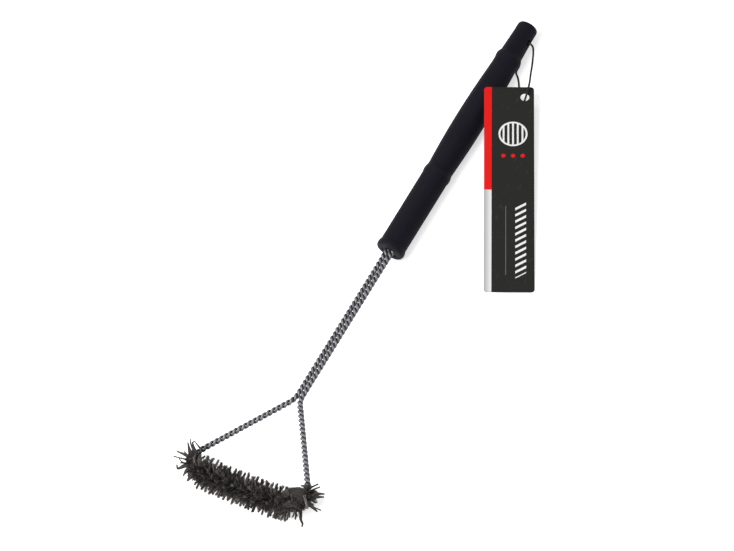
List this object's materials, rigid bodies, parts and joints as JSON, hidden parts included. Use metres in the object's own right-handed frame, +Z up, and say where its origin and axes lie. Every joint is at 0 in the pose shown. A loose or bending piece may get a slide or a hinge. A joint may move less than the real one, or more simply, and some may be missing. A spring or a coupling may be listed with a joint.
{
  "type": "grill cleaning brush",
  "caption": "Long-handled grill cleaning brush: a triangular twisted-wire head with a bowed bar of wire bristles, and a hang tag on a cord loop at the handle's end.",
  "frame": {"origin": "on the floor, under the middle of the brush's own box (handle, stem and bristles, without the hang tag, its cord and knot)", "axes": "+X runs along the handle from the bristles to the handle's tip, +Z is up, and +Y is the side of the arm on the left when looking from the handle's tip towards the bristles"},
  "size_m": [0.5504, 0.2354, 0.0324],
  "materials": {
    "handle_plastic": "satin moulded, fine grain, light handling wear",
    "insert_plastic": "matt moulded",
    "wire_steel": "drawn wire, dull zinc grey with darker crevices",
    "crimp_steel": "pressed sleeve",
    "bristle_steel": "dark oiled steel wire, slightly brown",
    "cord_fabric": "thin black braided cord",
    "tag_card": "printed stiff card with a satin varnish"
  },
  "bodies": {
    "brush": {"handle_grip": "handle_plastic", "socket_insert": "insert_plastic", "wire_crimp": "crimp_steel", "left_wire_a": "wire_steel", "left_wire_b": "wire_steel", "right_wire_a": "wire_steel", "right_wire_b": "wire_steel", "left_corner_bristles": "bristle_steel", "left_bar_bristles": "bristle_steel", "right_corner_bristles": "bristle_steel", "right_bar_bristles": "bristle_steel", "hang_cord": "cord_fabric", "cord_knot": "cord_fabric"},
    "tag": {"hang_tag": "tag_card"}
  },
  "joints": [
    {"name": "tag_lift", "type": "hinge", "parent": "brush", "child": "tag", "pos_m": [0.20252, -0.03934, 0.01405], "axis": [0.2655, 0.9221, 0.2816], "range_deg": [0, 45]}
  ]
}
